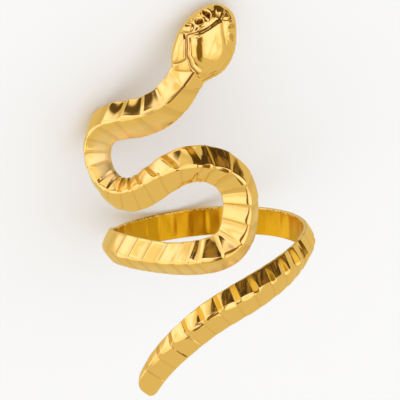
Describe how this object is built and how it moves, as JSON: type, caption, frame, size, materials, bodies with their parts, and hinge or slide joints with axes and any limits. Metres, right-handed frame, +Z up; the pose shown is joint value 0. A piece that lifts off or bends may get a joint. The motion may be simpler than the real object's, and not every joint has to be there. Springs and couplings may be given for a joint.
{
  "type": "snake ring",
  "caption": "Open wrap ring in the form of a ridged, scaled snake that climbs the finger in an S to a plated head.",
  "frame": {"origin": "middle of the box's bottom, on the surface that the ring lies on", "axes": "+Z up as the ring lies on its side; the finger bore runs along X, its head end towards -X and down by 38 degrees"},
  "size_m": [0.0332, 0.0228, 0.0193],
  "materials": {
    "gold": "polished gold plate"
  },
  "bodies": {
    "root": {"snake_ring": "gold"}
  },
  "joints": []
}
